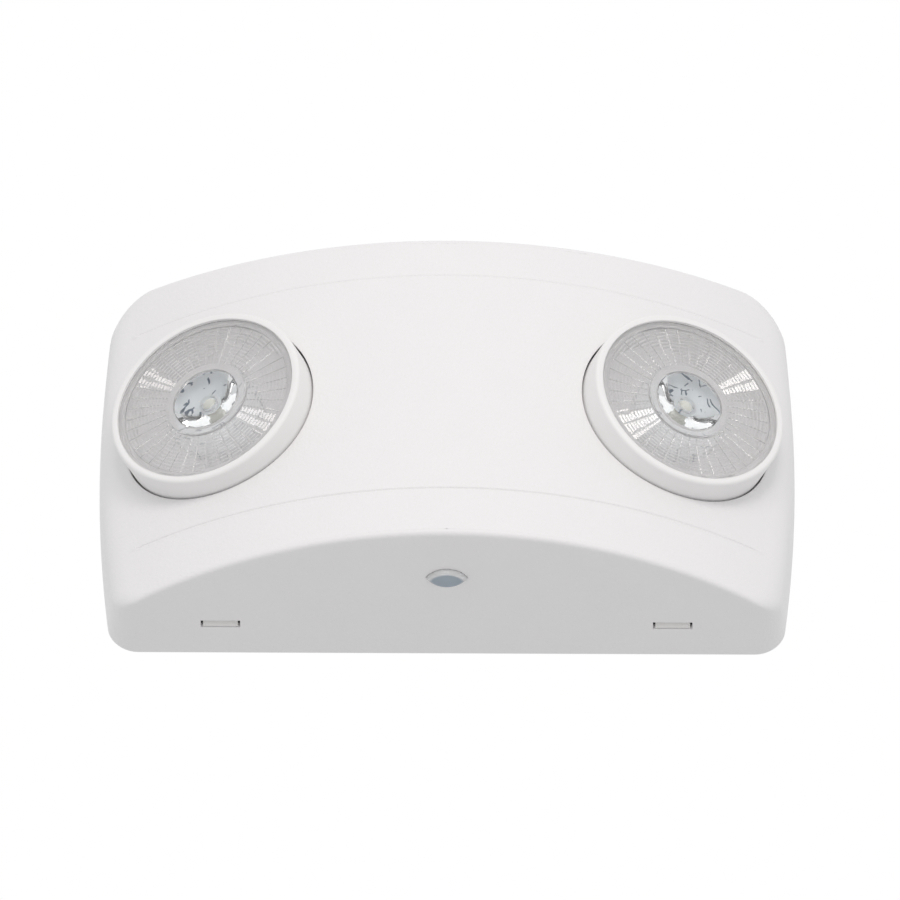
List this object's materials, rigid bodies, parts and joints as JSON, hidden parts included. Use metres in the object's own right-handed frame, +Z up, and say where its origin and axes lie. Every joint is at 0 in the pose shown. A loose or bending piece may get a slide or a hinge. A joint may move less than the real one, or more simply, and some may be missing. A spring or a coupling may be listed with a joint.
{
  "type": "twin head emergency light",
  "caption": "Wall-mounted emergency light with an arched moulded housing, round turning lamp heads with prismatic lenses, a clear press button and a battery backup behind the cover.",
  "frame": {"origin": "centre of the wire entry in the wall plane, at the middle of the housing's width and height", "axes": "+X to the viewer's right along the housing's width, +Y into the wall, so the front faces -Y, +Z up"},
  "size_m": [0.276, 0.0742, 0.1592],
  "materials": {
    "housing_white": "fine leather grain, satin",
    "tray_white": "smooth satin",
    "clear_lens": "clear polycarbonate, polished",
    "clear_blue": "clear with a slate-blue cast, polished",
    "board_green": "solder mask",
    "board_white": "white solder mask",
    "core_steel": "varnished laminations",
    "coil_tape": "yellow winding tape",
    "relay_blue": "moulded case",
    "can_sleeve": "shrunk sleeve",
    "sleeve_blue": "shrunk sleeve",
    "terminal_green": "moulded",
    "natural_plastic": "moulded nylon",
    "black_plastic": "moulded",
    "lead_black": "smooth wire jacket",
    "lead_red": "smooth wire jacket",
    "screw_steel": "zinc plated",
    "sink_aluminium": "extruded",
    "led_green": "diffused green",
    "led_yellow": "phosphor under a clear dome"
  },
  "bodies": {
    "housing": {"front_cover": "housing_white", "back_plate": "housing_white", "battery_pack": "sleeve_blue", "battery_strap": "black_plastic", "circuit_board": "board_green", "transformer_core": "core_steel", "transformer_coil": "coil_tape", "relay": "relay_blue", "capacitors": "can_sleeve", "terminal_block": "terminal_green", "lead_sockets": "natural_plastic", "board_screws": "screw_steel", "test_switch": "black_plastic", "status_led": "led_green", "battery_lead": "lead_black", "left_lamp_lead": "lead_red", "right_lamp_lead": "lead_red", "left_retaining_ring": "tray_white", "left_ring_screws": "screw_steel", "right_retaining_ring": "tray_white", "right_ring_screws": "screw_steel"},
    "left_head": {"left_lamp_shell": "housing_white", "left_lens": "clear_lens", "left_optic": "clear_lens", "left_led_board": "board_white", "left_led_emitter": "led_yellow", "left_lamp_tray": "tray_white", "left_heat_sink": "sink_aluminium", "left_rear_cap": "tray_white", "left_lamp_plug": "natural_plastic"},
    "right_head": {"right_lamp_shell": "housing_white", "right_lens": "clear_lens", "right_optic": "clear_lens", "right_led_board": "board_white", "right_led_emitter": "led_yellow", "right_lamp_tray": "tray_white", "right_heat_sink": "sink_aluminium", "right_rear_cap": "tray_white", "right_lamp_plug": "natural_plastic"},
    "button": {"test_button": "clear_blue"}
  },
  "joints": [
    {"name": "left_lamp_turn", "type": "hinge", "parent": "housing", "child": "left_head", "pos_m": [-0.0925, -0.04903, 0.0036], "axis": [-0.4067, -0.9135, 0], "range_deg": [-170, 170]},
    {"name": "right_lamp_turn", "type": "hinge", "parent": "housing", "child": "right_head", "pos_m": [0.0925, -0.04903, 0.0036], "axis": [0.4067, -0.9135, 0], "range_deg": [-170, 170]},
    {"name": "test_button_press", "type": "slide", "parent": "housing", "child": "button", "axis": [0, 0, 1], "range_m": [0, 0.0015], "stiffness_N_per_m": 800, "springref_m": -0.001}
  ]
}
